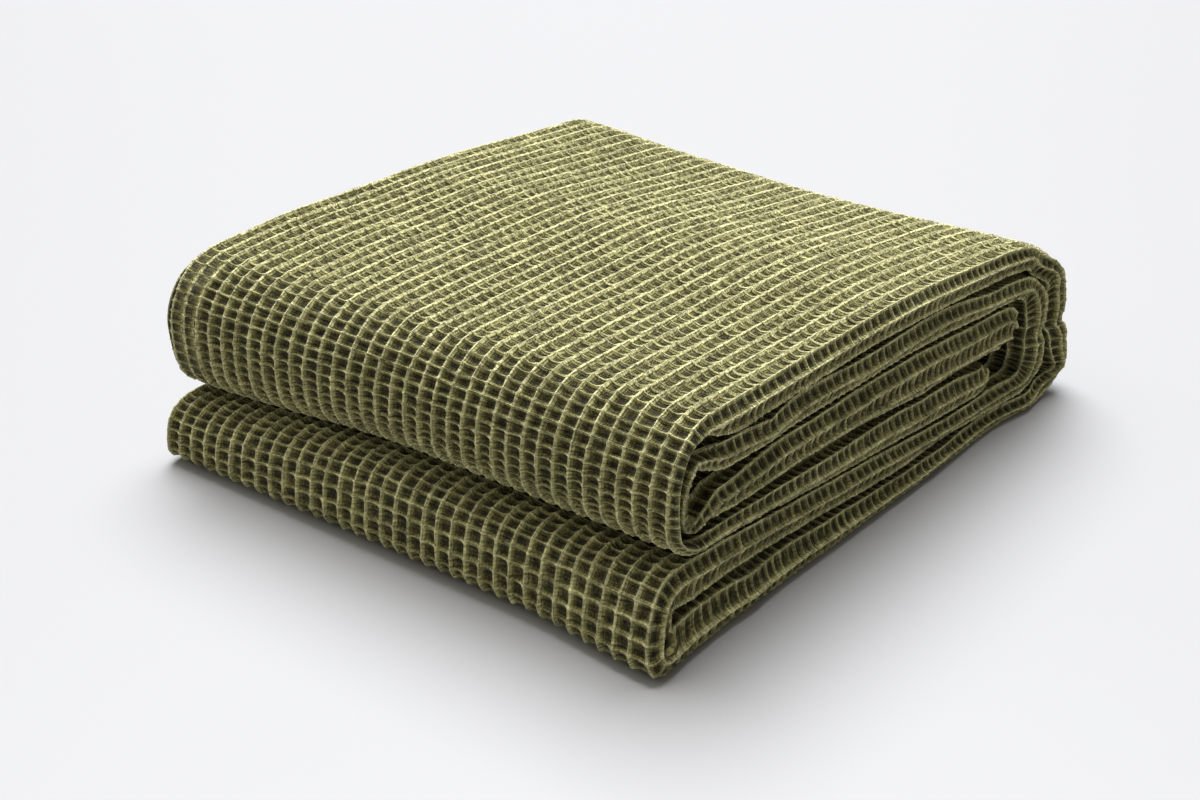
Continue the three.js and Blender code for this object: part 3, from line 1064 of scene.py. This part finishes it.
def yarn_group():
    """Inputs: the rib height, the painted shade of the pits, the rib colour with its painted
    highlight, the share of yarn relief. Outputs: colour, roughness and the height of the
    yarns for a Bump node."""
    tree = bpy.data.node_groups.new("cotton_yarn", "ShaderNodeTree")
    for in_out, socket_name, kind in SOCKETS:
        tree.interface.new_socket(socket_name, in_out=in_out, socket_type="NodeSocket" + kind)
    given = tree.nodes.new("NodeGroupInput").outputs
    result = tree.nodes.new("NodeGroupOutput").inputs
    uv = tree.nodes.new("ShaderNodeUVMap")
    uv.uv_map = "cloth"
    parts = tree.nodes.new("ShaderNodeSeparateXYZ")
    link(tree, uv.outputs[0], parts.inputs[0])
    strands = strands_of(tree, parts)
    fuzz = noise_node(tree, uv.outputs[0], FUZZ_SCALE, 4.0)
    long_yarns = noise_node(tree, uv.outputs[0], LONG_YARN_SCALE)
    cross_yarns = noise_node(tree, uv.outputs[0], CROSS_YARN_SCALE)
    dye = noise_node(tree, uv.outputs[0], DYE_SCALE, 3.0)
    uneven = math_node(tree, "ADD", long_yarns, cross_yarns)
    height = math_node(tree, "MULTIPLY", strands, HEIGHT_STRANDS)
    height = add_share(tree, height, fuzz, HEIGHT_FUZZ)
    height = add_share(tree, height, uneven, HEIGHT_UNEVEN)
    rib = given["Rib"]
    for noise, share in ((fuzz, RIB_FUZZ), (cross_yarns, RIB_YARNS)):
        rib = add_share(tree, rib, math_node(tree, "SUBTRACT", noise, 0.5), share, clamp=True)
    # the power darkens the pit walls further with painted shade
    rib = math_node(tree, "POWER", rib, RIB_POWER)
    shade = math_node(tree, "MULTIPLY", uneven, SHADE_UNEVEN)
    for noise, share in ((fuzz, SHADE_FUZZ), (dye, SHADE_DYE), (strands, SHADE_STRANDS)):
        shade = add_share(tree, shade, noise, share)
    shade = math_node(tree, "SUBTRACT", shade, SHADE_LEVEL)
    shade = math_node(tree, "MAXIMUM", shade, DARKEST)
    link(tree, yarn_colour_with_painted_shade(tree, given, rib, shade), result["Colour"])
    rough = add_share(tree, LEAST_ROUGH, fuzz, FUZZ_ROUGH, clamp=True)
    link(tree, rough, result["Roughness"])
    link(tree, math_node(tree, "MULTIPLY", height, given["Relief"]), result["Height"])
    return tree


YARN = yarn_group()
print("node group", YARN.name, "has", len(YARN.nodes), "nodes")

# %% [markdown]
# ## Three materials from one group
# The waffle, the hems and the thread are the same cotton. They differ in how high they
# count as ribs and how strongly the yarns stand out. What is the same all over a material
# stays on its own shader.

# %% The materials
# painted shade: the pit colour is far darker than the yarn, for the shade down in the pits. The
# rib colour is the yarn's own colour, made paler and bluer as painted highlight.
PAINTED_PIT_SHADE = (0.016, 0.012, 0.0030, 1)
RIB_YARN_AND_HIGHLIGHT = (0.670, 0.636, 0.335, 1)
THREAD_COLOUR = (0.50, 0.46, 0.24, 1)
SHEEN, SHEEN_ROUGHNESS, SHEEN_TINT = 0.12, 0.45, (0.97, 0.97, 0.88, 1)
SPECULAR = 0.25
YARN_RELIEF = 0.0007
HEM_RELIEF, THREAD_RELIEF = 0.8, 0.3
HEM_RIB, THREAD_RIB = 0.48, 1.0


def cloth_material(name, rib_colour, relief, even_rib=None):
    """Matt cotton with a soft sheen. The rib height is the mesh's own attribute, or one
    even value on hems and thread, which have no pits."""
    material = bpy.data.materials.new(name)
    material.use_nodes = True
    tree = material.node_tree
    shader = tree.nodes["Principled BSDF"]
    shader.inputs["Sheen Weight"].default_value = SHEEN
    shader.inputs["Sheen Roughness"].default_value = SHEEN_ROUGHNESS
    shader.inputs["Sheen Tint"].default_value = SHEEN_TINT
    shader.inputs["Specular IOR Level"].default_value = SPECULAR
    yarn = tree.nodes.new("ShaderNodeGroup")
    yarn.node_tree = YARN
    yarn.inputs["Pit shade"].default_value = PAINTED_PIT_SHADE
    yarn.inputs["Rib yarn and highlight"].default_value = rib_colour
    yarn.inputs["Relief"].default_value = relief
    # the rib height sets how much painted pit shade and painted rib highlight the colour gets
    if even_rib is None:
        rib = tree.nodes.new("ShaderNodeAttribute")
        rib.attribute_name = "rib"
        link(tree, rib.outputs["Fac"], yarn.inputs["Rib"])
    else:
        yarn.inputs["Rib"].default_value = even_rib
    bump = tree.nodes.new("ShaderNodeBump")
    bump.inputs["Strength"].default_value = 1.0
    bump.inputs["Distance"].default_value = YARN_RELIEF
    link(tree, yarn.outputs["Height"], bump.inputs["Height"])
    link(tree, yarn.outputs["Colour"], shader.inputs["Base Color"])
    link(tree, yarn.outputs["Roughness"], shader.inputs["Roughness"])
    link(tree, bump.outputs[0], shader.inputs["Normal"])
    return material


WAFFLE = cloth_material("waffle_cotton", RIB_YARN_AND_HIGHLIGHT, 1.0)
HEM_CLOTH = cloth_material("stitched_hem", RIB_YARN_AND_HIGHLIGHT, HEM_RELIEF, HEM_RIB)
THREAD = cloth_material("sewing_thread", THREAD_COLOUR, THREAD_RELIEF, THREAD_RIB)
for name, *_ in LENGTHS:
    for made, material in ((plies[name], WAFFLE), (inner[name], WAFFLE), (hems[name], HEM_CLOTH),
                           (end_hems.get(name, []), HEM_CLOTH), (threads[name], THREAD)):
        for piece in made if isinstance(made, list) else [made]:
            piece.data.materials.append(material)
print("materials:", WAFFLE.name, HEM_CLOTH.name, THREAD.name)

# %% [markdown]
# ## What moves with what
# The pad would open like a book, with the far wraps as its spine. Every piece of the leaf
# and of the pack is parented to an empty named for its body. The halves of the far wraps
# stay where they are: the start and end of their bend are worked out but not used.

# %% Bodies
BENDS = {"lower": ("lower_leaf", "far_spine", 1), "upper": ("far_spine", "upper_pack", -1)}


def edging_of(name):
    """Hems and stitches of one length."""
    return hems[name] + threads[name] + end_hems.get(name, [])


def bend_points(run, first, last, side):
    """Start and end of the bend on the line y + side * z: the whole first row is behind
    the start, and the whole last row is beyond the end."""
    levels = []
    for mark in (first, last):
        at = on_run(run, np.array([[cell(run, mark) * CROSS_PITCH]]))
        points = place(at, np.zeros((1, 3)), np.array([[0.0, 0.5, 1.0]]), run is OUTER)
        levels.append(side * points[..., 1] + points[..., 2])
    start, end = levels[0].max(), levels[1].min()
    return (0, side * start / 2, start / 2), (0, side * end / 2, end / 2)


for name, run, first, last, body, node, _ in LENGTHS:
    cloth = [plies[name]] + inner[name]
    half = name.split("_")[-1]
    for piece in cloth + edging_of(name):
        if half in BENDS:
            body_a, body_b, side = BENDS[half]
            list(bend_points(run, first, last, side))
            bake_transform(piece)
        else:
            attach(piece, body)
        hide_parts(node)
for name in BAND_NAMES:
    for piece, ply in zip(hems[name], HEM_SHARES):
        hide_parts(name + "_side_hem_" + ply)
for name, pieces in end_hems.items():
    for piece in pieces:
        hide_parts(name + "_end_hem")
print("pieces on bodies:",
      sum(1 + len(inner[name]) + len(edging_of(name)) for name, *_ in LENGTHS))

# %% [markdown]
# ## The pieces of the sheet
# Each length is three pieces of cloth: the first ply, the second and third plies, and the
# fourth ply. All of them together are the whole sheet; here their number is printed.

# %% Sheets
print("sheets:", 3 * len(LENGTHS))

# %% [markdown]
# ## The floor
# A plain pale floor, large enough to fill the view. It lies a hair below the cloth, so
# that the two surfaces never share one place, and it isn't part of the object.

# %% Floor
FLOOR_HALF_SIDE = 6.0
FLOOR_LEVEL = -0.0003
FLOOR_COLOUR = (0.362, 0.356, 0.342, 1)


def add_floor():
    """One large pale face just under the cloth."""
    mesh = bpy.data.meshes.new("floor")
    side, level = FLOOR_HALF_SIDE, FLOOR_LEVEL
    mesh.from_pydata([(-side, -side, level), (side, -side, level), (side, side, level),
                      (-side, side, level)], [], [(0, 1, 2, 3)])
    material = bpy.data.materials.new("pale_floor")
    material.use_nodes = True
    shader = material.node_tree.nodes["Principled BSDF"]
    shader.inputs["Base Color"].default_value = FLOOR_COLOUR
    shader.inputs["Roughness"].default_value = 0.55
    mesh.materials.append(material)
    floor = bpy.data.objects.new("floor", mesh)
    bpy.context.scene.collection.objects.link(floor)
    print("floor:", 2 * side, "m wide")


add_floor()

# %% [markdown]
# ## The light
# Two very wide soft suns and a pale room. The strong sun stands high behind the pad on
# the left, so the near side falls into soft shade and the pits show. The weak one stands
# in front on the left and keeps that shade open. A lamp could do it too, but a sun is
# equally strong everywhere, and only its width sets how soft the shadows are.

# %% Lights
def add_soft_sun(name, towards, strength, width, colour):
    """A sun so wide that its shadows are soft: the light of a large window."""
    light = bpy.data.lights.new(name, "SUN")
    light.energy = strength
    light.angle = math.radians(width)
    light.color = colour
    lamp = bpy.data.objects.new(name, light)
    x, y, z = towards
    lamp.rotation_euler = (math.atan2(math.hypot(x, y), z), 0, math.atan2(x, -y))
    lamp.location = towards
    bpy.context.scene.collection.objects.link(lamp)


ROOM_LIGHT = 0.27
BACKDROP_LIGHT = 0.78  # the wall looks pale behind the floor, but lights it less
add_soft_sun("window", (-0.8, 1.0, 2.2), 6.3, 50, (0.95, 0.97, 1.05))
add_soft_sun("near_left", (-1.2, -1.4, 2.8), 0.66, 70, (1.0, 0.98, 0.93))
world = bpy.data.worlds.new("white_room")
world.use_nodes = True
world.node_tree.nodes["Background"].inputs["Color"].default_value = (1.0, 0.985, 0.95, 1)
seen_directly = world.node_tree.nodes.new("ShaderNodeLightPath").outputs["Is Camera Ray"]
strength = math_node(world.node_tree, "ADD", ROOM_LIGHT, math_node(
    world.node_tree, "MULTIPLY", seen_directly, BACKDROP_LIGHT - ROOM_LIGHT))
link(world.node_tree, strength, world.node_tree.nodes["Background"].inputs["Strength"])
bpy.context.scene.world = world
bpy.context.scene.view_settings.view_transform = "Standard"
print("two soft suns and a white room")
